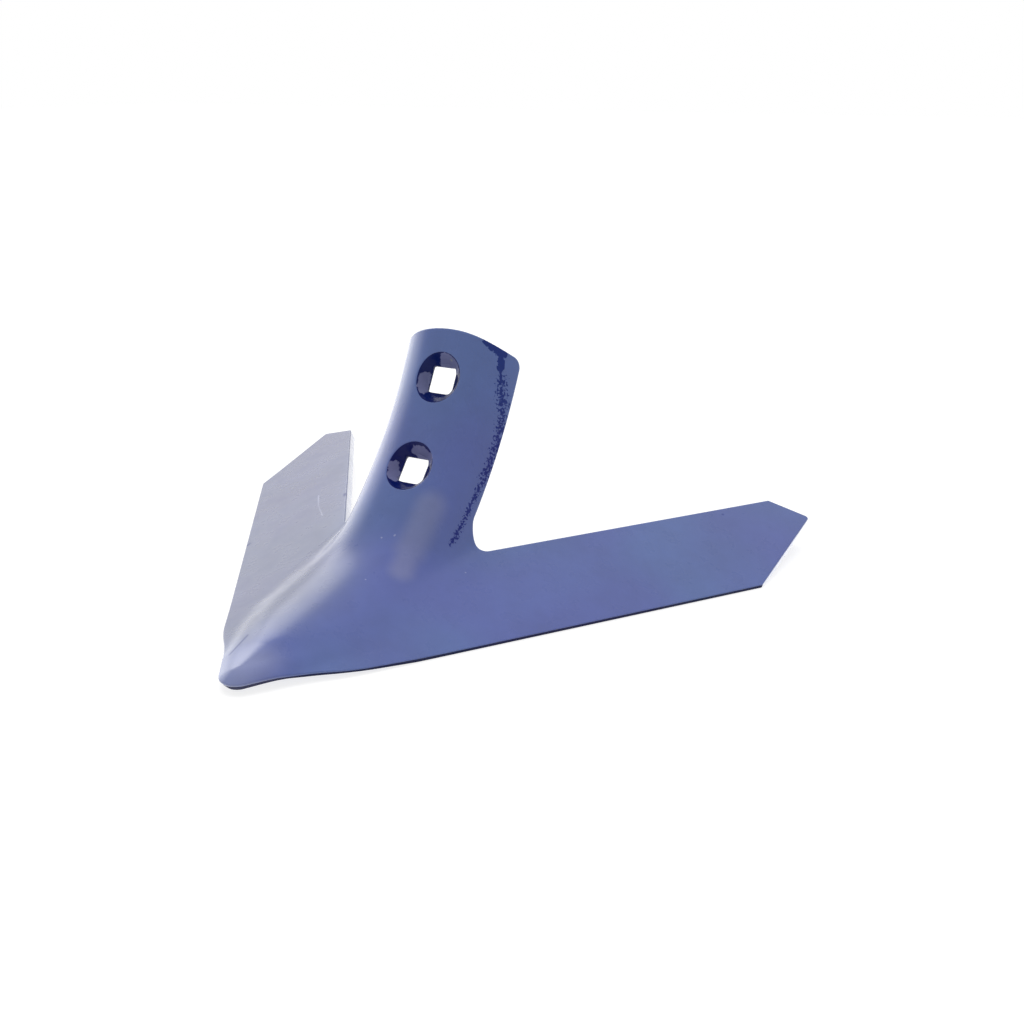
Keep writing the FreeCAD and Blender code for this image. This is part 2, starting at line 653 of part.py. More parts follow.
for thing in doc.Objects:
    if "Invalid" in thing.State or "Error" in thing.State:
        raise RuntimeError("failed: " + thing.Name + " " + str(thing.State))
shape = body.Shape
if shape.isNull() or not shape.isValid() or len(shape.Solids) != 1:
    raise RuntimeError("the sweep is not one valid solid")
for slope in (math.radians(size("lower_hole_angle")), math.radians(size("lower_hole_angle")) + hole_turn()):
    outward = FreeCAD.Vector(0, -math.sin(slope), math.cos(slope))
    middle = body.Placement.multVec(on_bend(slope) - outward * 0.9 * size("plate_thickness"))
    beside = middle + FreeCAD.Vector(size("square_width") / 2 + 2, 0, 0)
    if shape.isInside(middle, 0.01, True) or not shape.isInside(beside, 0.01, True):
        raise RuntimeError("a bolt hole is blocked or too wide")

os.makedirs("parts", exist_ok=True)
body.Shape.exportStep("parts/duckfoot_sweep.step")
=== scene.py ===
import math

import bpy
import numpy as np
from bpy.props import FloatProperty, FloatVectorProperty, PointerProperty
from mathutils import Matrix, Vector
from mathutils.geometry import delaunay_2d_cdt


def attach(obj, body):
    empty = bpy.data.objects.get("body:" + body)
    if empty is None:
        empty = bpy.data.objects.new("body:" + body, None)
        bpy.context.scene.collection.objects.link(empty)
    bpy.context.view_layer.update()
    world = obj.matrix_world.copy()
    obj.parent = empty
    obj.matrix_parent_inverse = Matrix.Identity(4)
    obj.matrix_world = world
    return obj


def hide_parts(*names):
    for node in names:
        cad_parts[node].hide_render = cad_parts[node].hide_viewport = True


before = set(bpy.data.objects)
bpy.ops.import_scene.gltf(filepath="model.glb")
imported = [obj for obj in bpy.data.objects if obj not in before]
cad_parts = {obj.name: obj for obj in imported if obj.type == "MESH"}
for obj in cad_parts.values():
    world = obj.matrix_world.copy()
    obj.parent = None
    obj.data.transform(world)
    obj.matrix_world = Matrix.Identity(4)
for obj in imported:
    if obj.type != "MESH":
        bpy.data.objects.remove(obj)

bl_info = {
    "name": "Duckfoot sweep",
    "version": (1, 0, 0),
    "blender": (4, 5, 0),
    "location": "View3D > Sidebar > Sweep",
    "description": "Builds a painted duckfoot sweep and its studio",
    "category": "Add Mesh",
}

MM = 0.001


def length(name, description, millimetres):
    """A length property, given in millimetres and kept in metres."""
    return FloatProperty(name=name, description=description, default=millimetres * MM,
                         unit="LENGTH", precision=5)


def angle(name, description, degrees):
    """An angle property, given in degrees and kept in radians."""
    return FloatProperty(name=name, description=description, default=math.radians(degrees),
                         unit="ROTATION")


def amount(name, description, value):
    """A property without a unit."""
    return FloatProperty(name=name, description=description, default=value)


def tint(name, description, value):
    """A colour property, in linear light."""
    return FloatVectorProperty(name=name, description=description, default=value + (1.0,),
                               size=4, subtype="COLOR")


class SweepSizes(bpy.types.PropertyGroup):
    """Sizes of the pressed plate, the same as those of the solid it stands for."""

    plate_thickness: length("Plate thickness", "Thickness of the steel plate", 6.35)
    overall_width: length("Overall width", "Across the two wing tips", 304.8)
    tip_setback: length("Tip setback", "Meeting point of the edges to the tips", 276.7)
    tip_corner_drop: length("Tip corner drop", "Forward run of the short back cut", 2.3)
    end_inset: length("End inset", "End of the cutting edge inside the tip", 2.7)
    nose_half_angle: angle("Nose half angle", "Travel line to a cutting edge", 35.16)
    nose_radius: length("Nose radius", "Rounding of the nose in plan", 8.7)
    nose_inset: length("Nose inset", "Step of the edge inward before the nose", 3.25)
    nose_inset_run: length("Nose inset run", "Where that step begins", 68.0)
    nose_inset_bend: length("Nose inset bend", "Bends of that step", 100.0)
    wing_width: length("Wing width", "Cutting edge to trailing edge", 54.4)
    wing_tilt: angle("Wing tilt", "Rise of a wing inward from its edge", 20.9)
    edge_height: length("Edge height", "Cutting edge above the sole", 1.95)
    lift_angle: angle("Lift angle", "Lift of the front of each wing", 2.4)
    lift_run: length("Lift run", "Where that lift begins", 87.0)
    lift_height: length("Lift height", "Where that lift levels off", 1.5)
    sole_run: length("Sole run", "Where the sole leaves the ground", 71.0)
    sole_crest_run: length("Sole crest run", "Where the sole under the nose is highest", 30.0)
    sole_crest_height: length("Sole crest height", "Height of the sole there", 2.95)
    sole_nose_height: length("Sole nose height", "Sole at the meeting point", 0.1)
    nose_lip: length("Nose lip", "Height of the top edge at the nose", 4.1)
    nose_roll: length("Nose roll", "Length over which the ridge rolls down", 12.0)
    nose_roll_rise: length("Nose roll rise", "Rise of that roll", 5.2)
    ridge_start: length("Ridge start", "Height of the ridge at the meeting point", 5.8)
    ridge_angle: angle("Ridge angle", "Rise of the ridge line", 10.0)
    ridge_half_start: length("Ridge half start", "Half width at the meeting point", 2.8)
    ridge_spread: angle("Ridge spread", "Angle at which the ridge widens", 20.3)
    ridge_half_full: length("Ridge half full", "Half width at the shank", 26.0)
    ridge_roundness: amount("Ridge roundness", "Section radius over half width", 1.87)
    shank_width: length("Shank width", "Across the shank", 63.2)
    shank_radius: length("Shank radius", "Bend of the shank along its length", 207.0)
    bend_centre_run: length("Bend centre run", "Centre of the bend along the travel line", -11.45)
    bend_centre_height: length("Bend centre height", "Centre of the bend above the sole", 194.5)
    shank_crown: length("Shank crown", "Section radius of the flat middle", 200.0)
    shank_edge_drop: length("Shank edge drop", "How far the sides curl back", 19.4)
    neck_radius: length("Neck radius", "Notch between shank and wing", 5.0)
    lower_hole_angle: angle("Lower hole angle", "Slope of the shank at the lower hole", 48.2)
    hole_spacing: length("Hole spacing", "Between the bolt holes", 44.45)
    top_margin: length("Top margin", "Upper hole to the top of the shank", 23.7)
    top_crown_radius: length("Top crown radius", "Curve of the top edge", 64.0)
    top_corner: length("Top corner", "Rounding of the shank's top corners", 4.5)
    countersink_width: length("Countersink width", "Bolt head recess at the surface", 24.06)
    countersink_angle: angle("Countersink angle", "Full angle of the recess", 80.0)
    countersink_depth: length("Countersink depth", "Depth of the recess", 5.0)
    square_width: length("Square width", "Square neck hole", 12.9)
    edge_round: length("Edge round", "Rounding of the plate's edges", 0.9)
    mesh_step: length("Mesh step", "Distance between points of the surface", 2.1)


class SweepColours(bpy.types.PropertyGroup):
    """Colours of the paint, of the marks on it and of the light and shade painted on it."""

    paint: tint("Paint", "Glossy blue paint all over", (0.0625, 0.1, 0.316))
    # Partly real dust and partly painted sheen: greys the left wing's blue the way its gloss at a grazing
    # angle does
    dust_and_sheen: tint("Dust", "Faint dust over the left wing", (0.08, 0.07, 0.08))
    # Painted reflection: a lighter band of colour below the lower hole
    sheen_smear: tint("Smear", "Dried smear under the lower hole", (0.17, 0.19, 0.33))
    # Lighter paint over the nose
    lighter_nose: tint("Worn", "Rubbed paint at the nose", (0.185, 0.22, 0.4))
    dark: tint("Dark", "Thick dark paint of the streak and the specks", (0.0, 0.008, 0.15))
    chip: tint("Chip", "Pale chips and scratches", (0.35, 0.38, 0.55))
    # Painted shade: near-black blue for the shaded recesses
    recess: tint("Recess", "Paint pooled in the recesses", (0.001, 0.004, 0.09))
    # Painted reflection: lighter patches on the recess walls, at the same places in both holes
    recess_reflection: tint("Haze", "Film dried in the recesses", (0.15, 0.155, 0.31))
    # Painted highlight: a greenish glint on the wall of the upper recess
    painted_glint: tint("Glint", "Greenish speck in the upper recess", (0.45, 0.5, 0.15))
    # Painted shade: near-black for the cutting edge's faces, which lie in the shade under the plate
    edge: tint("Edge", "Dull paint of the ground edge", (0.008, 0.011, 0.055))


class StudioSettings(bpy.types.PropertyGroup):
    """Camera and light."""

    focal_length: amount("Focal length", "Lens in millimetres", 42.22)
    camera_place: FloatVectorProperty(
        name="Camera place", description="Where the camera stands", unit="LENGTH",
        default=(0.29685, -0.43949, 0.22822))
    camera_pitch: angle("Camera pitch", "Turn about the level axis", 69.726)
    camera_turn: angle("Camera turn", "Turn about the upright axis", 29.011)
    wash_level: amount("Wash level", "Level of the light from all round", 0.55)
    key_strength: amount("Key strength", "Strength of the lamps", 1.5)


def soft_max(first, second, softness):
    """The larger of two heights, with the corner between them rounded."""
    share = np.maximum(softness - np.abs(first - second), 0.0) / softness
    return np.maximum(first, second) + share ** 3 * softness / 6.0


def soft_min(first, second, softness):
    """The smaller of two heights, with the corner between them rounded."""
    return -soft_max(-first, -second, softness)


class PressedForm:
    """Front surface of the pressed plate, as heights over its ground plan."""

    # Blend of the ridge into the foot of the shank
    foot_blend = 14 * MM
    # Slopes beyond which the ridge's sides and the shank's bend run on straight
    ridge_reach = math.radians(50)
    bend_reach = math.radians(78)
    # Share of the nose's roll after which it rises steadily
    steady_roll = 0.65
    # Half width over which the crest of the nose is rounded
    crest_radius = 2 * MM

    def __init__(self, s):
        self.s = s
        self.delta = s.nose_half_angle
        self.tilt = math.tan(s.wing_tilt)
        self.plan_width = s.wing_width * math.cos(s.wing_tilt)
        self.half = s.shank_width / 2
        self.quartic = (s.shank_edge_drop - self.half ** 2 / (2 * s.shank_crown)) / self.half ** 4
        self.edge_slope = self.half / s.shank_crown + 4 * self.quartic * self.half ** 3
        front = (s.nose_inset + s.nose_radius) / math.sin(self.delta) - s.nose_radius
        rear = s.tip_setback + s.plate_thickness * math.sin(s.wing_tilt) * math.sin(self.delta)
        self.shift = (front + rear) / 2

    def ridge_half(self, along):
        """Half width of the ridge at a distance along the travel line."""
        s = self.s
        grown = s.ridge_half_start + math.tan(s.ridge_spread) * along
        return np.maximum(4 * MM, soft_min(grown, s.ridge_half_full, 6 * MM))

    def wing(self, across, along):
        """Planes that rise inward from the cutting edges."""
        s = self.s
        half = self.ridge_half(along)
        side = np.abs(across)
        part = np.minimum(side / half, 1.0)
        side = np.where(side < half, half * (0.375 + 0.75 * part ** 2 - 0.125 * part ** 4), side)
        inward = along * math.sin(self.delta) - side * math.cos(self.delta)
        on_edge = side * math.sin(self.delta) + along * math.cos(self.delta)
        lifted = soft_max(0.0, math.tan(s.lift_angle) * (s.lift_run - on_edge), 1 * MM)
        return s.edge_height + self.tilt * inward + soft_min(lifted, s.lift_height, 1 * MM)

    def ridge(self, across, along):
        """Arched ridge from the nose up to the shank."""
        s = self.s
        radius = s.ridge_roundness * self.ridge_half(along)
        limit = radius * math.sin(self.ridge_reach)
        side = np.minimum(np.abs(across), limit)
        fall = radius - np.sqrt(radius ** 2 - side ** 2)
        fall = fall + math.tan(self.ridge_reach) * np.maximum(np.abs(across) - limit, 0.0)
        return s.ridge_start + math.tan(s.ridge_angle) * along - fall

    def shank(self, across, along):
        """Front of the shank: its section carried round the bend."""
        s = self.s
        side = np.minimum(np.abs(across), self.half)
        drop = side ** 2 / (2 * s.shank_crown) + self.quartic * side ** 4
        drop = drop + self.edge_slope * np.maximum(np.abs(across) - self.half, 0.0)
        radius = s.shank_radius + drop
        run = np.minimum(along - s.bend_centre_run, radius * math.sin(self.bend_reach))
        return s.bend_centre_height - np.sqrt(radius ** 2 - run ** 2)

    def nose(self, across, along):
        """Slope that rolls the ridge down to the edge all round the nose."""
        s = self.s
        centre = (s.nose_inset + s.nose_radius) / math.sin(self.delta)
        side = np.hypot(across, np.clip((along - centre) / 4, 0.0, 4 * MM))
        inward = along * math.sin(self.delta) - side * math.cos(self.delta) - s.nose_inset
        on_edge = side * math.sin(self.delta) + along * math.cos(self.delta)
        before = (s.nose_inset + s.nose_radius) / math.tan(self.delta) - on_edge
        turned = s.nose_radius - np.hypot(before, inward - s.nose_radius)
        inward = np.where(before > 0, turned, inward)
        part = np.minimum(inward / s.nose_roll, self.steady_roll)
        past = np.maximum(inward - self.steady_roll * s.nose_roll, 0.0)
        steady = 2 * (1 - self.steady_roll)
        rolled = s.nose_roll_rise * (2 * part - part ** 2 + steady * past / s.nose_roll)
        return s.nose_lip + math.tan(s.lift_angle) * on_edge + rolled + past ** 2 / (20 * MM)

    def height(self, across, along):
        """Height of the whole front surface."""
        crease = 1.5 * MM + 0.12 * np.maximum(along - 30 * MM, 0.0)
        valley = soft_min(crease, 12 * MM, 4 * MM)
        middle = soft_max(self.ridge(across, along), self.shank(across, along), self.foot_blend)
        pressed = soft_max(self.wing(across, along), middle, valley)
        side = np.hypot(across, self.crest_radius)
        inward = along * math.sin(self.delta) - side * math.cos(self.delta) - self.s.nose_inset
        blend = soft_min(1 * MM + 0.4 * np.maximum(inward, 0.0), 5 * MM, 3 * MM)
        return soft_min(pressed, self.nose(across, along), blend)

    def sole(self, along):
        """Height of the sole, which lifts a little under the nose."""
        s = self.s
        runs = [0.0, s.sole_crest_run, s.sole_run, 1.0]
        return np.interp(along, runs, [s.sole_nose_height, s.sole_crest_height, 0.0, 0.0])

    def lean(self, across, along):
        """Slopes of the front surface across and along."""
        step = 0.05 * MM
        x = (self.height(across + step, along) - self.height(across - step, along)) / (2 * step)
        y = (self.height(across, along + step) - self.height(across, along - step)) / (2 * step)
        return x, y

    def front(self, plan):
        """Points and normals of the front surface over plan points."""
        across, along = plan[:, 0], plan[:, 1]
        lean_x, lean_y = self.lean(across, along)
        normals = np.stack([-lean_x, -lean_y, np.ones(len(plan))], axis=1)
        normals /= np.linalg.norm(normals, axis=1)[:, None]
        return np.stack([across, along, self.height(across, along)], axis=1), normals

    def back(self, points, normals):
        """Points square behind the front, but never below the sole, and the depth to them."""
        to_sole = (points[:, 2] - self.sole(points[:, 1])) / normals[:, 2]
        depth = np.minimum(self.s.plate_thickness, to_sole)
        return points - normals * depth[:, None], depth


def filleted(corners, step):
    """Closed plan outline through corners (x, y, radius), with each corner rounded."""
    path = []
    count = len(corners)
    for index, (x, y, radius) in enumerate(corners):
        here = Vector((x, y))
        before = Vector(corners[index - 1][:2]) - here
        after = Vector(corners[(index + 1) % count][:2]) - here
        turn = math.pi - before.angle(after)
        if radius <= 0 or turn < 1e-4:
            path.append(here)
            continue
        run = radius * math.tan(turn / 2)
        start = here + before.normalized() * run
        end = here + after.normalized() * run
        inward = (before.normalized() + after.normalized()).normalized()
        centre = here + inward * math.hypot(radius, run)
        pieces = max(4, int(math.ceil(turn * radius / step)), int(turn / 0.16))
        for piece in range(pieces + 1):
            part = piece / pieces
            swing = math.sin((1 - part) * turn) * (start - centre)
            swing = swing + math.sin(part * turn) * (end - centre)
            path.append(centre + swing / math.sin(turn))
    dense = []
    for here, there in zip(path, path[1:] + path[:1]):
        if (there - here).length < 1e-6:
            continue
        pieces = max(1, int(math.ceil((there - here).length / step)))
        for piece in range(pieces):
            dense.append(here.lerp(there, piece / pieces))
    return np.array([(point.x, point.y) for point in dense])


def top_edge(form):
    """Plan points of the shank's crowned top edge, from right to left."""
    s = form.s
    turn = 2 * math.asin(s.hole_spacing / 2 / s.shank_radius)
    slope = s.lower_hole_angle + turn + s.top_margin / s.shank_radius
    run = s.bend_centre_run + s.shank_radius * math.sin(slope)
    rise = s.bend_centre_height - s.shank_radius * math.cos(slope)
    fine = np.linspace(0.0, form.half, 400)
    steep = fine / s.shank_crown + 4 * form.quartic * fine ** 3
    unrolled = np.concatenate([[0.0], np.cumsum(np.hypot(1.0, steep)[1:] * np.diff(fine))])
    points = []
    for part in np.linspace(1.0, -1.0, 49):
        across = form.half * math.sin(part * math.pi / 2)
        from_side = unrolled[-1] - float(np.interp(abs(across), fine, unrolled))
        limit = math.sqrt(s.top_crown_radius ** 2 - across ** 2) - s.top_crown_radius
        if from_side < s.top_corner:
            limit -= s.top_corner - math.sqrt(s.top_corner ** 2 - (s.top_corner - from_side) ** 2)
        low, high = run - 40 * MM, run + 20 * MM
        for _ in range(40):
            along = (low + high) / 2
            height = float(form.height(np.array(across), np.array(along)))
            reach = (along - run) * math.cos(slope) + (height - rise) * math.sin(slope)
            low, high = (along, high) if reach < limit else (low, along)
        points.append((across, along))
    return points


def blank_outline(form, step):
    """Plan outline of the sweep, counter-clockwise from the nose."""
    s = form.s
    delta = form.delta

    def beside(run, inset):
        """Plan point along the right cutting edge and inside it."""
        return (run * math.sin(delta) - inset * math.cos(delta),
                run * math.cos(delta) + inset * math.sin(delta))

    half_step = math.sqrt(s.nose_inset * s.nose_inset_bend - s.nose_inset ** 2 / 4)
    swing = math.asin(half_step / s.nose_inset_bend)
    reach = s.nose_inset_bend * math.tan(swing / 2)
    half_width = s.overall_width / 2
    edge_x = half_width - s.end_inset
    inner_y = s.tip_setback - s.tip_corner_drop
    inner_x = (inner_y * math.sin(delta) - form.plan_width) / math.cos(delta)
    neck_y = (form.plan_width + form.half * math.cos(delta)) / math.sin(delta)
    top = top_edge(form)
    right = [
        beside(s.nose_inset_run - 2 * half_step + reach, s.nose_inset) + (s.nose_inset_bend,),
        beside(s.nose_inset_run - reach, 0.0) + (s.nose_inset_bend,),
        (edge_x, edge_x / math.tan(delta), 1.5 * MM),
        (half_width, s.tip_setback, 1.8 * MM),
        (inner_x, inner_y, 1.5 * MM),
        (form.half, neck_y, s.neck_radius),
        top[0] + (0.0,),
    ]
    left = [(-x, y, radius) for x, y, radius in reversed(right)]
    crown = [point + (0.0,) for point in top[1:-1]]
    # Keeps the tip of the nose from standing out of the solid's box
    clearance = 0.14 * MM
    nose = (0.0, (s.nose_inset + clearance) / math.sin(delta), s.nose_radius)
    return filleted([nose] + right + crown + left, step)


def inside(points, polygon):
    """Which points lie inside a closed polygon."""
    result = np.zeros(len(points), bool)
    x, y = points[:, 0], points[:, 1]
    for (ax, ay), (bx, by) in zip(polygon, np.roll(polygon, -1, axis=0)):
        if ay == by:
            continue
        crosses = (ay > y) != (by > y)
        result ^= crosses & (x < ax + (y - ay) * (bx - ax) / (by - ay))
    return result


def nearest(points, others):
    """Distance from each point to the nearest of the others."""
    return np.concatenate([
        np.sqrt(((part[:, None, :] - others[None, :, :]) ** 2).sum(axis=2).min(axis=1))
        for part in np.array_split(points, 40)])


class BoltHole:
    """One square hole with its round recess, in the frame of the hole's own axis."""

    # Width of the ring of faces round the recess
    skirt = 1.0 * MM
    # Roundings of the recess's rim, of the square's corners and of the hole's exit
    rim_round = 0.6 * MM
    square_corner = 1.1 * MM
    exit_round = 0.3 * MM

    def __init__(self, form, slope):
        s = form.s
        self.form = form
        run = s.bend_centre_run + s.shank_radius * math.sin(slope)
        rise = s.bend_centre_height - s.shank_radius * math.cos(slope)
        self.centre = np.array([0.0, run, rise])
        self.right = np.array([1.0, 0.0, 0.0])
        self.up = np.array([0.0, math.cos(slope), math.sin(slope)])
        self.out = np.array([0.0, -math.sin(slope), math.cos(slope)])
        self.turns = np.linspace(0, 2 * math.pi, 96, endpoint=False)

    def at(self, radius, level):
        """Points at a radius from the axis and a level above the centre, one for each turn."""
        ring = np.outer(np.cos(self.turns) * radius, self.right)
        ring += np.outer(np.sin(self.turns) * radius, self.up)
        return self.centre + ring + np.outer(np.ones(len(self.turns)) * level, self.out)

    def on_front(self, radius):
        """Points of the front surface at a radius from the axis."""
        level = np.zeros(len(self.turns))
        for _ in range(12):
            points = self.at(radius, level)
            lean_x, lean_y = self.form.lean(points[:, 0], points[:, 1])
            miss = points[:, 2] - self.form.height(points[:, 0], points[:, 1])
            level -= miss / (self.out[2] - lean_x * self.out[0] - lean_y * self.out[1])
        return self.at(radius, level), level

    def on_back(self, radius):
        """Points of the back surface at a radius from the axis."""
        aim = np.ones(len(self.turns)) * radius
        for _ in range(6):
            points, _ = self.on_front(aim)
            _, normals = self.form.front(points[:, :2])
            behind, _ = self.form.back(points, normals)
            offset = behind - self.centre
            reached = np.hypot(offset @ self.right, offset @ self.up)
            aim = aim + radius - reached
        return behind

    def square(self, half, corner):
        """Radius of a square with rounded corners, for each turn."""
        cos, sin = np.abs(np.cos(self.turns)), np.abs(np.sin(self.turns))
        cos, sin = np.maximum(cos, sin), np.minimum(cos, sin)
        flat = half / cos
        core = half - corner
        rounded = core * (cos + sin) + np.sqrt(np.maximum(corner ** 2 - (core * (cos - sin)) ** 2, 0))
        return np.where(half * sin / cos <= core, flat, rounded)

    def rim(self):
        """Radius at which the recess meets the front surface, for each turn."""
        s = self.form.s
        radius = np.ones(len(self.turns)) * s.countersink_width / 2
        for _ in range(12):
            _, level = self.on_front(radius)
            radius = s.countersink_width / 2 + level * math.tan(s.countersink_angle / 2)
        return radius

    def rows(self):
        """Rows of points from the front surface, down the recess and hole, to the back surface."""
        s = self.form.s
        flare = math.tan(s.countersink_angle / 2)
        rim = self.rim()
        corner, level = self.on_front(rim)
        outer, _ = self.on_front(rim + self.skirt)
        start, _ = self.on_front(rim + self.rim_round)
        wall = rim - self.rim_round * math.sin(s.countersink_angle / 2)
        wall_level = level - self.rim_round * math.cos(s.countersink_angle / 2)
        rows = [outer] + bend(start, corner, self.at(wall, wall_level), 5)
        hole = self.square(s.square_width / 2, self.square_corner)
        floor = s.countersink_width / 2 - s.countersink_depth * flare
        end = np.maximum(hole + 0.25 * MM, floor)
        end_level = -(s.countersink_width / 2 - end) / flare
        for part in (0.25, 0.5, 0.75, 0.93, 1.0):
            level = wall_level * (1 - part) + end_level * part
            rows.append(self.at(wall * (1 - part) + end * part, level))
        ledge = end - np.minimum(end - hole, 0.15 * MM)
        rows.append(self.at(ledge, end_level))
        lip = np.minimum((end - hole) * 0.5, 0.2 * MM)
        rows.append(self.at(hole + lip, end_level))
        rows.append(self.at(hole, end_level - lip))
        exit_level = (self.on_back(hole) - self.centre) @ self.out
        last_level = exit_level + self.exit_round
        for part in (0.5, 1.0):
            rows.append(self.at(hole, (end_level - lip) * (1 - part) + last_level * part))
        for part in (0.35, 0.7):
            rows.append(self.at(hole + self.exit_round * part, exit_level + self.exit_round * (1 - part)))
        for reach in (0.4 * MM, 1.5 * MM, 3.0 * MM):
            rows.append(self.on_back(hole + np.minimum(reach, (rim - hole) * 0.8)))
        return rows


def bend(first, corner, last, count):
    """Points of a rounded corner between two places, one row for each step."""
    rows = []
    for part in np.linspace(0, 1, count):
        rows.append(first * (1 - part) ** 2 + corner * 2 * part * (1 - part) + last * part ** 2)
    return rows


# Slots of the three looks: the paint, the painted shade of the recesses and the painted shade of the
# cutting edge
PAINT, RECESS_SHADE, EDGE_SHADE = 0, 1, 2
# Distance between points of the outline, and from the outline in to the first row of points
OUTLINE_STEP = 1.6 * MM
BORDER = 1.0 * MM
# Stretch of the travel line over which the front corner's rounding falls, and its share of the depth
NOSE_STRETCH = (20 * MM, 60 * MM)
ROUNDING_SHARES = (0.42, 0.16)
# Width of the band along the cutting edge whose faces get the painted shade
SHADED_EDGE_BAND = 8 * MM


class MeshMaker:
    """Collects points and faces, and makes one closed mesh of them."""

    def __init__(self):
        self.points = []
        self.normals = {}
        self.faces = []
        self.looks = []
        self.inward = True

    def add(self, points, normals=None):
        """Add points and return their numbers."""
        first = len(self.points)
        self.points.extend(map(tuple, points))
        numbers = list(range(first, first + len(points)))
        if normals is not None:
            for number, normal in zip(numbers, normals):
                self.normals[number] = tuple(normal)
        return numbers

    def strip(self, first, second, looks):
        """Join two closed rows of the same length, with one look for each face."""
        for index in range(len(first)):
            after = (index + 1) % len(first)
            face = (first[index], first[after], second[after], second[index])
            self.faces.append(face if self.inward else face[::-1])
        self.looks += list(looks)

    def rows(self, first, rows, last, looks, plain, inward):
        """Join a chain of closed rows; the first and last strips, as many as plain, are paint."""
        self.inward = inward
        previous = first
        for count, row in enumerate(rows + [last]):
            numbers = last if count == len(rows) else self.add(row)
            bare = count < plain[0] or count > len(rows) - plain[1]
            self.strip(previous, numbers, [PAINT] * len(looks) if bare else looks)
            previous = numbers

    def mesh(self, name, shift):
        """Smooth mesh of all the faces, moved back by the shift along the travel line."""
        mesh = bpy.data.meshes.new(name)
        placed = np.array(self.points) - np.array([[0.0, shift, 0.0]])
        mesh.from_pydata(placed.tolist(), [], self.faces)
        mesh.polygons.foreach_set("material_index", [int(look) for look in self.looks])
        mesh.update()
        mesh.shade_smooth()
        blended = [tuple(vector.vector) for vector in mesh.vertex_normals]
        for number, normal in self.normals.items():
            blended[number] = normal
        mesh.normals_split_custom_set_from_vertices(blended)
        return mesh


def shank_stretch(form):
    """Tables that stretch the plan along the travel line as the shank steepens."""
    along = np.linspace(0.0, 0.3, 1201)
    height = form.shank(np.zeros_like(along), along)
    ridge = form.ridge(np.zeros_like(along), along)
    slope = np.gradient(np.maximum(height, ridge), along)
    slope = np.minimum(slope, 2.0) * np.clip((0.2 - along) / 0.014, 0.0, 1.0)
    grown = np.concatenate([[0.0], np.cumsum(np.hypot(1.0, slope)[1:] * np.diff(along))])
    return along, grown


def fill_points(form, boundary, holes, step):
    """Evenly spread plan points between the boundary and the holes, in stretched plan."""
    low, high = boundary.min(axis=0), boundary.max(axis=0)
    found = []
    for pitch, bottom, top in ((0.62 * step, low[1], 78 * MM), (step, 78 * MM, high[1])):
        rise = pitch * math.sqrt(3) / 2
        count = int((top - bottom) / rise) + 1
        reach = int(high[0] / pitch) + 1
        for row in range(count):
            shift = 0.5 * (row % 2)
            across = (np.arange(-reach, reach + 1) + shift) * pitch
            level = bottom + (row + 0.5) * rise
            found.append(np.stack([across, np.full(len(across), level)], axis=1))
    points = np.concatenate(found)
    keep = inside(points, boundary)
    points = points[keep]
    points = points[nearest(points, boundary) > 0.6 * step]
    for hole in holes:
        points = points[~inside(points, hole)]
        points = points[nearest(points, hole) > 0.5 * step]
    return points


def triangulate(form, loops, step):
    """Plan points and triangles between the first loop and the others, and the span of each loop."""
    along, grown = shank_stretch(form)
    stretched = [np.stack([loop[:, 0], np.interp(loop[:, 1], along, grown)], axis=1) for loop in loops]
    inner = fill_points(form, stretched[0], stretched[1:], step)
    flat = np.concatenate(stretched + [inner])
    edges, first, spans = [], 0, []
    for loop in loops:
        spans.append(slice(first, first + len(loop)))
        edges += [(first + i, first + (i + 1) % len(loop)) for i in range(len(loop))]
        first += len(loop)
    result = delaunay_2d_cdt([Vector(point) for point in flat], edges, [], 0, 1e-7)
    origin = [numbers[0] for numbers in result[3]]
    triangles = np.array([[origin[v] for v in face] for face in result[2]])
    middles = flat[triangles].mean(axis=1)
    keep = inside(middles, stretched[0])
    for hole in stretched[1:]:
        keep &= ~inside(middles, hole)
    plan = np.stack([flat[:, 0], np.interp(flat[:, 1], grown, along)], axis=1)
    for span, loop in zip(spans, loops):
        plan[span] = loop
    return plan, triangles[keep], spans


def edge_rows(form, corners, normals, inward, under_rim):
    """Rows of points round the plate's edge, with both of its corners rounded."""
    _, depth = form.back(corners, normals)
    rounding = np.interp(corners[:, 1], NOSE_STRETCH, ROUNDING_SHARES) * depth
    rounding = np.minimum(form.s.edge_round, rounding)[:, None]
    near, _ = form.front(corners[:, :2] + inward[:, :2] * rounding)
    wall = corners - normals * rounding
    foot = corners - normals * depth[:, None]
    low = np.minimum(0.6 * MM, 0.15 * depth)[:, None]
    towards = under_rim - foot
    towards /= np.linalg.norm(towards, axis=1)[:, None]
    return bend(near, corners, wall, 6) + bend(foot + normals * low, foot, foot + towards * low, 5)


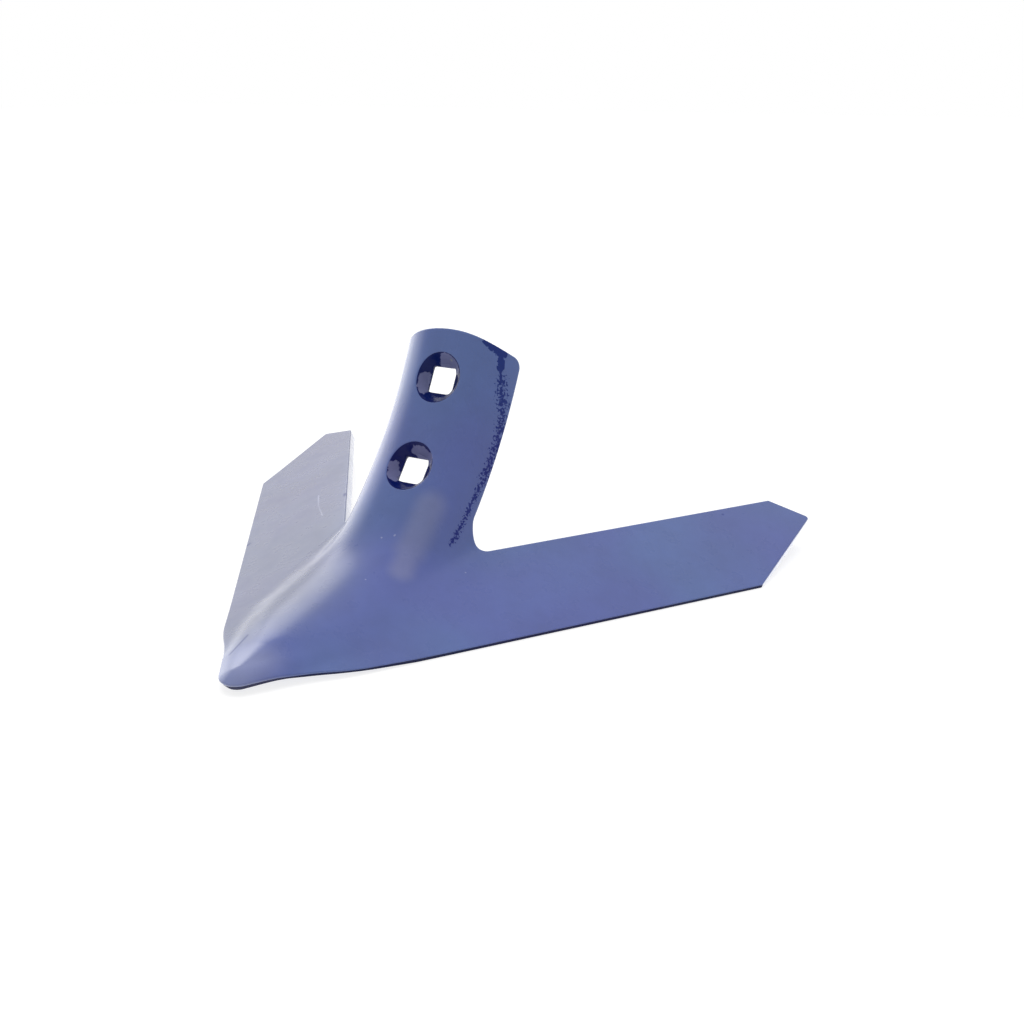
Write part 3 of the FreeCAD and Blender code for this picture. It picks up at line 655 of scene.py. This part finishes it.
def sweep_mesh(s):
    """The whole sweep as one closed mesh with smooth, exact normals."""
    form = PressedForm(s)
    outline = blank_outline(form, OUTLINE_STEP)
    corners, corner_normals = form.front(outline)
    tangents = np.roll(corners, -1, axis=0) - np.roll(corners, 1, axis=0)
    inward = np.cross(corner_normals, tangents)
    inward /= np.linalg.norm(inward, axis=1)[:, None]
    turn = 2 * math.asin(s.hole_spacing / 2 / s.shank_radius)
    holes = [BoltHole(form, s.lower_hole_angle), BoltHole(form, s.lower_hole_angle + turn)]
    hole_rows = [hole.rows() for hole in holes]
    loops = [outline + inward[:, :2] * BORDER] + [rows[0][:, :2] for rows in hole_rows]
    plan, triangles, spans = triangulate(form, loops, s.mesh_step)

    points, normals = form.front(plan)
    behind, thick = form.back(points, normals)
    flat_sole = thick < s.plate_thickness - 1e-7
    behind_normals = np.where(flat_sole[:, None], np.array([[0.0, 0.0, -1.0]]), -normals)
    maker = MeshMaker()
    front_numbers = maker.add(points, normals)
    back_numbers = maker.add(behind, behind_normals)
    maker.faces += [tuple(front_numbers[v] for v in face) for face in triangles]
    maker.faces += [tuple(back_numbers[v] for v in reversed(face)) for face in triangles]
    maker.looks += [PAINT] * (2 * len(triangles))

    rows = edge_rows(form, corners, corner_normals, inward, behind[spans[0]])
    off_edge = outline[:, 1] * math.sin(form.delta) - np.abs(outline[:, 0]) * math.cos(form.delta)
    # Faces of the cutting edge, which get the painted shade
    cutting = (off_edge < SHADED_EDGE_BAND) & (np.abs(outline[:, 0]) < s.overall_width / 2 - s.end_inset)
    maker.rows(front_numbers[spans[0]], rows, back_numbers[spans[0]],
               np.where(cutting, EDGE_SHADE, PAINT), (6, 0), False)
    # The recesses' faces get the painted shade, apart from the first and last three strips
    for span, chain in zip(spans[1:], hole_rows):
        maker.rows(front_numbers[span], chain[1:], back_numbers[span],
                   [RECESS_SHADE] * len(chain[0]), (3, 3), True)
    return maker.mesh("sweep", form.shift)


class Graph:
    """Adds nodes to one tree with few words."""

    def __init__(self, tree):
        self.tree = tree

    def put(self, target, value):
        """Link or set one input."""
        if isinstance(value, bpy.types.NodeSocket):
            self.tree.links.new(value, target)
        else:
            target.default_value = value

    def node(self, kind, inputs=(), **settings):
        """New node with its settings and its inputs, by name or number."""
        node = self.tree.nodes.new(kind)
        for name, value in settings.items():
            setattr(node, name, value)
        for name, value in dict(inputs).items():
            self.put(node.inputs[name], value)
        return node

    def math(self, operation, first, second=0.0, clamp=False):
        """Result of one sum."""
        inputs = {0: first, 1: second}
        return self.node("ShaderNodeMath", inputs, operation=operation, use_clamp=clamp).outputs[0]

    def vector(self, operation, inputs, output="Vector"):
        """Result of one vector sum."""
        return self.node("ShaderNodeVectorMath", inputs, operation=operation).outputs[output]

    def fade(self, value, low, high, to_low=0.0, to_high=1.0):
        """Soft step from one value to another."""
        inputs = {"Value": value, "From Min": low, "From Max": high, "To Min": to_low, "To Max": to_high}
        return self.node("ShaderNodeMapRange", inputs, interpolation_type="SMOOTHSTEP").outputs["Result"]

    def mix(self, share, first, second):
        """Blend of two colours."""
        node = self.node("ShaderNodeMix", {"Factor": share}, data_type="RGBA")
        self.put(node.inputs[6], first)
        self.put(node.inputs[7], second)
        return node.outputs[2]

    def noise(self, place, scale, detail=2.0, rough=0.5):
        """Height of a noise."""
        inputs = {"Vector": place, "Scale": scale, "Detail": detail, "Roughness": rough}
        return self.node("ShaderNodeTexNoise", inputs).outputs["Fac"]

    def group(self, tree, inputs):
        """Outputs of a node group."""
        node = self.node("ShaderNodeGroup")
        node.node_tree = tree
        for name, value in inputs.items():
            self.put(node.inputs[name], value)
        return node.outputs


def new_group(name, inputs, outputs):
    """Empty node group with named sockets, its graph, its inputs and its output node."""
    tree = bpy.data.node_groups.new(name, "ShaderNodeTree")
    for title, kind, default in inputs:
        socket = tree.interface.new_socket(title, in_out="INPUT", socket_type="NodeSocket" + kind)
        socket.default_value = default
    for title, kind in outputs:
        tree.interface.new_socket(title, in_out="OUTPUT", socket_type="NodeSocket" + kind)
    graph = Graph(tree)
    return graph, graph.node("NodeGroupInput").outputs, graph.node("NodeGroupOutput")


def mark_group():
    """How near a point is to a short line: 1 on the line and 0 from its width outwards."""
    inputs = [("Place", "Vector", (0, 0, 0)), ("Start", "Vector", (0, 0, 0)),
              ("Span", "Vector", (0, 0, 1)), ("Width", "Float", 0.001)]
    graph, given, result = new_group("mark", inputs, [("Nearness", "Float")])
    offset = graph.vector("SUBTRACT", {0: given["Place"], 1: given["Start"]})
    reach = graph.vector("DOT_PRODUCT", {0: offset, 1: given["Span"]}, "Value")
    full = graph.vector("DOT_PRODUCT", {0: given["Span"], 1: given["Span"]}, "Value")
    share = graph.math("DIVIDE", reach, graph.math("MAXIMUM", full, 1e-9), clamp=True)
    foot = graph.vector("SCALE", {0: given["Span"], "Scale": share})
    away = graph.vector("DISTANCE", {0: offset, 1: foot}, "Value")
    near = graph.math("SUBTRACT", 1.0, graph.math("DIVIDE", away, given["Width"]), clamp=True)
    graph.put(result.inputs["Nearness"], near)
    return graph.tree


def ragged_group():
    """Breaks a soft nearness up into ragged speckles."""
    inputs = [("Place", "Vector", (0, 0, 0)), ("Nearness", "Float", 0.0),
              ("Grain", "Float", 900.0), ("Fill", "Float", 0.5)]
    graph, given, result = new_group("ragged", inputs, [("Mask", "Float")])
    noise = graph.noise(given["Place"], given["Grain"], 3.0, 0.65)
    spread = graph.fade(noise, 0.3, 0.7)
    level = graph.math("ADD", graph.math("MULTIPLY", given["Nearness"], 1.2), given["Fill"])
    over = graph.math("SUBTRACT", graph.math("ADD", spread, level), 1.15)
    mask = graph.math("MULTIPLY", graph.fade(over, 0.0, 0.14), graph.fade(given["Nearness"], 0.0, 0.08))
    graph.put(result.inputs["Mask"], mask)
    return graph.tree


def film_group():
    """Paint film: its colour drifts a little, its gloss varies and its skin is gently dimpled."""
    inputs = [("Place", "Vector", (0, 0, 0)), ("Colour", "Color", (0.01, 0.04, 0.27, 1)),
              ("Gloss", "Float", 0.3), ("Dimples", "Float", 0.1)]
    outputs = [("Colour", "Color"), ("Roughness", "Float"), ("Normal", "Vector")]
    graph, given, result = new_group("paint_film", inputs, outputs)
    place = given["Place"]
    drift = graph.noise(place, 22.0, 3.0, 0.55)
    cloud = graph.noise(place, 130.0, 4.0, 0.6)
    fine = graph.noise(place, 2600.0, 1.0)
    tone = graph.fade(drift, 0.25, 0.75, -0.07, 0.07)
    tone = graph.math("ADD", tone, graph.fade(cloud, 0.3, 0.7, -0.03, 0.03))
    tone = graph.math("ADD", tone, graph.fade(fine, 0.3, 0.7, -0.012, 0.012))
    hue = graph.fade(graph.noise(place, 15.0, 1.0), 0.3, 0.7, 0.492, 0.506)
    inputs = {"Hue": hue, "Value": graph.math("ADD", 1.0, tone), "Color": given["Colour"]}
    graph.put(result.inputs["Colour"], graph.node("ShaderNodeHueSaturation", inputs).outputs["Color"])
    sheen_smear = graph.noise(graph.vector("MULTIPLY", {0: place, 1: (1.0, 1.0, 0.25)}), 90.0, 4.0, 0.6)
    rough = graph.math("ADD", given["Gloss"], graph.fade(sheen_smear, 0.3, 0.7, -0.05, 0.07))
    graph.put(result.inputs["Roughness"], rough)
    skin = graph.math("ADD", graph.noise(place, 420.0, 2.0), graph.math("MULTIPLY", drift, 1.5))
    inputs = {"Strength": given["Dimples"], "Distance": 0.6 * MM, "Height": skin}
    bump = graph.node("ShaderNodeBump", inputs)
    graph.put(result.inputs["Normal"], bump.outputs["Normal"])
    return graph.tree


# Marks seen on the part, some real and some painted light: start, end (millimetres from the part's
# origin) and width
STREAK = (
    ((27.2, 36.2, 91.0), (28.9, 34.5, 84.0), 7.4),
    ((28.9, 34.5, 84.0), (29.8, 32.5, 74.0), 8.2),
    ((29.8, 32.5, 74.0), (30.4, 24.0, 59.5), 7.6),
    ((30.4, 24.0, 59.5), (30.0, 14.2, 49.7), 6.4),
    ((30.0, 14.2, 49.7), (29.7, 6.0, 42.5), 4.2),
    ((29.7, 6.0, 42.5), (29.8, -1.0, 36.0), 3.2),
    ((29.8, -1.0, 36.0), (29.3, -8.5, 30.0), 3.8),
    ((29.3, -8.5, 30.0), (28.6, -13.0, 26.8), 2.8),
)
PATCH = (
    ((20.0, 37.0, 110.6), (25.4, 39.6, 103.6), 3.4),
    ((25.4, 39.6, 103.6), (26.4, 37.4, 97.5), 2.2),
    ((26.4, 37.4, 97.5), (26.9, 36.0, 90.0), 0.9),
)
# Painted reflections on the recess walls, the same in both holes
RECESS_REFLECTION = (
    ((-7.8, -3.2, 50.7), (-9.0, -0.9, 53.8), 4.5),
    ((0.8, 6.3, 61.3), (6.8, 4.6, 59.2), 5.0),
    ((-7.8, 23.7, 86.6), (-9.0, 25.9, 90.8), 4.5),
    ((0.8, 30.9, 99.1), (6.8, 29.7, 96.7), 5.0),
)
# Painted highlight: greenish glint in the upper recess
PAINTED_GLINT = (
    ((3.6, 29.4, 99.6), (5.6, 27.6, 98.2), 1.6),
)
PALE = (
    ((3.1, -30.3, 31.2), (3.3, -30.3, 31.1), 0.7),
    ((8.5, -27.9, 32.4), (8.6, -27.7, 32.6), 0.8),
    ((10.8, -54.0, 21.4), (10.9, -54.0, 21.4), 0.6),
    ((39.7, -18.5, 17.4), (39.8, -18.5, 17.4), 0.6),
    ((-84.6, 36.5, 15.5), (-74.0, 22.5, 16.1), 0.8),
    ((-74.0, 22.5, 16.1), (-61.8, 10.2, 16.8), 0.7),
)
DARK = (
    ((116.6, 101.7, 19.8), (116.9, 101.9, 19.8), 0.9),
    ((-93.1, -11.9, 2.2), (-93.0, -10.0, 2.9), 1.3),
    ((-63.0, 30.8, 20.9), (-64.5, 33.0, 20.8), 1.2),
    ((-12.0, -116.3, 7.5), (-14.1, -102.8, 10.1), 0.9),
)
# Painted reflection below the lower hole
REFLECTION_SMEAR = (
    ((17.5, -12.0, 43.0), (18.5, -30.0, 29.0), 11.0),
    ((18.5, -30.0, 29.0), (20.5, -40.0, 23.3), 9.0),
)
# Lighter paint over the nose
LIGHTER_NOSE = (
    ((2.0, -134.0, 5.0), (2.0, -119.0, 9.0), 23.0),
)
# Left wing: partly real dust and partly painted sheen, which greys its colour
DUST_AND_SHEEN = (
    ((-42.0, -72.0, 6.0), (-142.0, 96.0, 14.0), 64.0),
)


def nearest_mark(graph, group, place, marks):
    """Greatest nearness to any of the marks."""
    total = None
    for start, end, width in marks:
        start, end = Vector(start) * MM, Vector(end) * MM
        inputs = {"Place": place, "Start": start, "Span": end - start, "Width": width * MM}
        near = graph.group(group, inputs)["Nearness"]
        total = near if total is None else graph.math("MAXIMUM", total, near)
    return total


def painted(name, coat, specular):
    """New material with its graph, its shader and the place on the part."""
    material = bpy.data.materials.new(name)
    material.use_nodes = True
    graph = Graph(material.node_tree)
    shader = material.node_tree.nodes["Principled BSDF"]
    shader.inputs["Coat Weight"].default_value = coat
    shader.inputs["Coat Roughness"].default_value = 0.2
    shader.inputs["Specular IOR Level"].default_value = specular
    place = graph.node("ShaderNodeTexCoord").outputs["Object"]
    return material, graph, shader, place


def finish_paint(graph, shader, film):
    """Link the film to the shader."""
    graph.put(shader.inputs["Base Color"], film["Colour"])
    graph.put(shader.inputs["Roughness"], film["Roughness"])
    graph.put(shader.inputs["Normal"], film["Normal"])
    graph.put(shader.inputs["Coat Normal"], film["Normal"])


def glossy_paint(groups, colours):
    """Glossy blue paint with its dust and painted sheen on the left wing, a painted reflection below the
    lower hole, lighter paint over the nose, its dark streak and its chips.
    """
    mark, ragged, film = groups
    material, graph, shader, place = painted("sweep_paint", 1.0, 0.1)
    # Dust and painted sheen: greys the colour of the left wing
    dust_and_sheen = graph.fade(nearest_mark(graph, mark, place, DUST_AND_SHEEN), 0.0, 0.6, 0.0, 0.5)
    colour = graph.mix(dust_and_sheen, colours.paint, colours.dust_and_sheen)
    # Painted reflection: lighter colour below the lower hole
    sheen_smear = graph.fade(nearest_mark(graph, mark, place, REFLECTION_SMEAR), 0.0, 0.8, 0.0, 0.5)
    colour = graph.mix(sheen_smear, colour, colours.sheen_smear)
    # Lighter paint over the nose
    lighter_nose = graph.fade(nearest_mark(graph, mark, place, LIGHTER_NOSE), 0.25, 1.0, 0.0, 0.85)
    colour = graph.mix(lighter_nose, colour, colours.lighter_nose)
    inputs = {"Place": place, "Nearness": nearest_mark(graph, mark, place, STREAK),
              "Grain": 820.0, "Fill": -0.18}
    streak = graph.group(ragged, inputs)["Mask"]
    inputs = {"Place": place, "Nearness": nearest_mark(graph, mark, place, PATCH),
              "Grain": 420.0, "Fill": 0.7}
    patch = graph.group(ragged, inputs)["Mask"]
    dark = graph.fade(nearest_mark(graph, mark, place, DARK), 0.1, 0.7, 0.0, 0.6)
    dark = graph.math("MAXIMUM", graph.math("MAXIMUM", streak, patch), dark)
    colour = graph.mix(graph.math("MULTIPLY", dark, 0.92), colour, colours.dark)
    chip = graph.fade(nearest_mark(graph, mark, place, PALE), 0.1, 0.9, 0.0, 0.5)
    colour = graph.mix(chip, colour, colours.chip)
    dull = graph.math("ADD", graph.math("MULTIPLY", dark, 0.75), graph.math("MULTIPLY", dust_and_sheen, 0.56))
    graph.put(shader.inputs["Coat Weight"], graph.math("SUBTRACT", 1.0, dull, clamp=True))
    inputs = {"Place": place, "Colour": colour, "Gloss": 0.3, "Dimples": 0.02}
    finish_paint(graph, shader, graph.group(film, inputs))
    return material


def recess_shade_paint(groups, colours):
    """Painted shade: near-black paint in the recesses, with painted reflections on their walls and one
    painted greenish glint.
    """
    mark, _, film = groups
    # Painted shade: the recesses get near-black paint
    material, graph, shader, place = painted("recess_shade_paint", 0.12, 0.05)
    # Painted reflection: lighter patches on the recess walls
    recess_reflection = nearest_mark(graph, mark, place, RECESS_REFLECTION)
    rough = graph.fade(graph.noise(place, 260.0, 4.0, 0.6), 0.3, 0.7, -0.28, 0.12)
    recess_reflection = graph.fade(graph.math("ADD", recess_reflection, rough), 0.1, 0.24)
    colour = graph.mix(recess_reflection, colours.recess, colours.recess_reflection)
    # Painted highlight: greenish glint in the upper recess
    painted_glint = graph.fade(nearest_mark(graph, mark, place, PAINTED_GLINT), 0.1, 0.8, 0.0, 0.6)
    colour = graph.mix(painted_glint, colour, colours.painted_glint)
    inputs = {"Place": place, "Colour": colour, "Gloss": 0.35, "Dimples": 0.3}
    finish_paint(graph, shader, graph.group(film, inputs))
    return material


def edge_shade_paint(groups, colours):
    """Painted shade: dull near-black paint on the faces of the cutting edge, standing in for the shade
    below them.
    """
    material, graph, shader, place = painted("edge_shade_paint", 0.0, 0.1)
    inputs = {"Place": place, "Colour": colours.edge, "Gloss": 0.6, "Dimples": 0.35}
    finish_paint(graph, shader, graph.group(groups[2], inputs))
    return material


class SWEEP_OT_build(bpy.types.Operator):
    """Build the painted sweep in place of its solid"""

    bl_idname = "sweep.build"
    bl_label = "Build Sweep"

    def execute(self, context):
        piece = bpy.data.objects.new("sweep", sweep_mesh(context.scene.sweep_sizes))
        context.scene.collection.objects.link(piece)
        groups = (mark_group(), ragged_group(), film_group())
        for finish in (glossy_paint, recess_shade_paint, edge_shade_paint):
            piece.data.materials.append(finish(groups, context.scene.sweep_colours))
        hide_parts("duckfoot_sweep")
        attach(piece, "root")
        return {"FINISHED"}


# Pale panels at the left of the part: direction, outer and inner radius in degrees, and level
PANELS = (
    ((-0.637, 0.588, 0.499), 20.0, 1.0, 2.17),
    ((-0.982, 0.043, 0.186), 38.0, 12.0, 1.62),
)
# Soft lamps: name, share of the key strength, and direction
LAMPS = (
    ("overhead", 1.12, (-0.14, 0.28, 0.95)),
    ("side", 0.15, (-0.918, 0.129, 0.375)),
)


def seen_by_eye(graph):
    """1 for the rays of the camera, of gloss and of glass, and 0 for soft light."""
    path = graph.node("ShaderNodeLightPath").outputs
    sharp = graph.math("MAXIMUM", path["Is Glossy Ray"], path["Is Transmission Ray"])
    return graph.math("MAXIMUM", path["Is Camera Ray"], sharp)


def studio_world(wash_level):
    """Plain white all round with two soft pale panels in its gloss, and a soft wash as its light."""
    world = bpy.data.worlds.new("studio")
    world.use_nodes = True
    graph = Graph(world.node_tree)
    background = world.node_tree.nodes["Background"]
    background.inputs["Color"].default_value = (1, 1, 1, 1)
    place = graph.node("ShaderNodeTexCoord").outputs["Generated"]
    pale = 1.0
    for direction, outer, inner, added in PANELS:
        near = graph.vector("DOT_PRODUCT", {0: place, 1: direction}, "Value")
        near = graph.fade(near, math.cos(math.radians(outer)), math.cos(math.radians(inner)), 0.0, added)
        pale = graph.math("ADD", near, pale)
    glossy = graph.node("ShaderNodeLightPath").outputs["Is Glossy Ray"]
    pale = graph.node("ShaderNodeMix", {"Factor": glossy, "A": 1.0, "B": pale}).outputs["Result"]
    inputs = {"Factor": seen_by_eye(graph), "A": wash_level, "B": pale}
    graph.put(background.inputs["Strength"], graph.node("ShaderNodeMix", inputs).outputs["Result"])
    return world


def floor_material():
    """Pale floor that keeps a faint shadow and runs into the white behind it."""
    material = bpy.data.materials.new("floor")
    material.use_nodes = True
    graph = Graph(material.node_tree)
    shader = material.node_tree.nodes["Principled BSDF"]
    shader.inputs["Base Color"].default_value = (0.9, 0.9, 0.9, 1)
    shader.inputs["Roughness"].default_value = 0.9
    shader.inputs["Specular IOR Level"].default_value = 0.0
    glossy = graph.node("ShaderNodeLightPath").outputs["Is Glossy Ray"]
    level = graph.math("ADD", graph.math("MULTIPLY", glossy, 0.55), 0.78)
    white = graph.node("ShaderNodeEmission", {"Color": (1, 1, 1, 1), "Strength": level})
    faint = graph.node("ShaderNodeBsdfDiffuse", {"Color": (0.35, 0.35, 0.35, 1)})
    both = graph.node("ShaderNodeAddShader", {0: white.outputs[0], 1: faint.outputs[0]})
    inputs = {0: seen_by_eye(graph), 1: shader.outputs[0], 2: both.outputs[0]}
    seen = graph.node("ShaderNodeMixShader", inputs)
    graph.put(material.node_tree.nodes["Material Output"].inputs["Surface"], seen.outputs[0])
    return material


class SWEEP_OT_stage(bpy.types.Operator):
    """Set up the floor, the lamps and the camera"""

    bl_idname = "sweep.stage"
    bl_label = "Set Up Stage"

    def execute(self, context):
        scene = context.scene
        settings = scene.sweep_studio
        scene.view_settings.view_transform = "Standard"
        data = bpy.data.cameras.new("camera")
        data.lens = settings.focal_length
        data.sensor_width = 36
        camera = bpy.data.objects.new("camera", data)
        camera.location = settings.camera_place
        camera.rotation_euler = (settings.camera_pitch, 0, settings.camera_turn)
        scene.collection.objects.link(camera)
        scene.camera = camera

        mesh = bpy.data.meshes.new("floor")
        mesh.from_pydata([(-6, -6, 0), (6, -6, 0), (6, 6, 0), (-6, 6, 0)], [], [(0, 1, 2, 3)])
        floor = bpy.data.objects.new("floor", mesh)
        scene.collection.objects.link(floor)
        mesh.materials.append(floor_material())

        scene.world = studio_world(settings.wash_level)
        for name, share, direction in LAMPS:
            data = bpy.data.lights.new(name, "SUN")
            data.energy = settings.key_strength * share
            data.angle = math.radians(60)
            lamp = bpy.data.objects.new(name, data)
            lamp.rotation_euler = Vector(direction).to_track_quat("Z", "Y").to_euler()
            lamp.visible_glossy = False
            scene.collection.objects.link(lamp)
        return {"FINISHED"}


class SWEEP_PT_panel(bpy.types.Panel):
    """Settings of the sweep and the buttons that build it"""

    bl_idname = "SWEEP_PT_panel"
    bl_label = "Duckfoot Sweep"
    bl_space_type = "VIEW_3D"
    bl_region_type = "UI"
    bl_category = "Sweep"

    def draw(self, context):
        scene = context.scene
        for settings in (scene.sweep_sizes, scene.sweep_colours, scene.sweep_studio):
            for name in type(settings).__annotations__:
                self.layout.prop(settings, name)
        self.layout.operator("sweep.build")
        self.layout.operator("sweep.stage")


CLASSES = (SweepSizes, SweepColours, StudioSettings, SWEEP_OT_build, SWEEP_OT_stage, SWEEP_PT_panel)


def register():
    """Register the classes and attach the settings to the scene."""
    for item in CLASSES:
        bpy.utils.register_class(item)
    bpy.types.Scene.sweep_sizes = PointerProperty(type=SweepSizes)
    bpy.types.Scene.sweep_colours = PointerProperty(type=SweepColours)
    bpy.types.Scene.sweep_studio = PointerProperty(type=StudioSettings)


def unregister():
    """Remove the settings and the classes."""
    del bpy.types.Scene.sweep_studio
    del bpy.types.Scene.sweep_colours
    del bpy.types.Scene.sweep_sizes
    for item in reversed(CLASSES):
        bpy.utils.unregister_class(item)


def main():
    """Build everything."""
    register()
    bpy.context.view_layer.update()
    bpy.ops.sweep.build()
    bpy.ops.sweep.stage()


if __name__ == "__main__":
    main()
